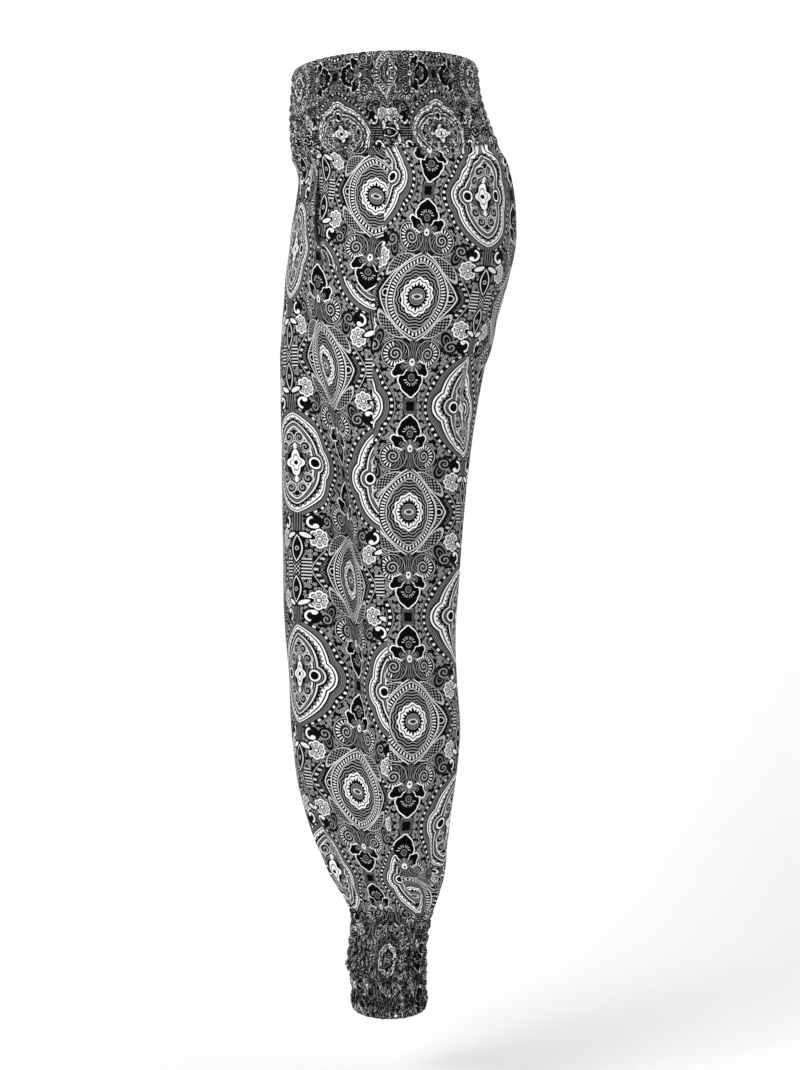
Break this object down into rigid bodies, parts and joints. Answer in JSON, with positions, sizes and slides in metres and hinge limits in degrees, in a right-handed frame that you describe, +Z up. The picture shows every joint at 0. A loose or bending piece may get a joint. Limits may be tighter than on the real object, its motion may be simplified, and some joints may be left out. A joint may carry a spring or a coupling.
{
  "type": "harem pants",
  "caption": "Women's harem pants in their worn, hollow form, with a wide shirred waistband, full draped legs, curved hip pockets and shirred ankle cuffs.",
  "frame": {"origin": "centre of the waist opening, at the waistband's upper edge", "axes": "+Z up, -Y towards the wearer's front, +X towards the wearer's left"},
  "size_m": [0.4052, 0.2443, 0.987],
  "materials": {
    "waistband_cloth": "shirred woven viscose, printed black and white",
    "leg_cloth": "soft woven viscose, printed black and white",
    "pocket_cloth": "soft woven viscose, printed black and white",
    "cuff_cloth": "shirred woven viscose, printed black and white"
  },
  "bodies": {
    "root": {"waistband_front": "waistband_cloth", "waistband_back": "waistband_cloth", "leg_front_left": "leg_cloth", "leg_back_left": "leg_cloth", "pocket_facing_left": "pocket_cloth", "cuff_front_left": "cuff_cloth", "cuff_back_left": "cuff_cloth", "leg_front_right": "leg_cloth", "leg_back_right": "leg_cloth", "pocket_facing_right": "pocket_cloth", "cuff_front_right": "cuff_cloth", "cuff_back_right": "cuff_cloth"}
  },
  "joints": []
}
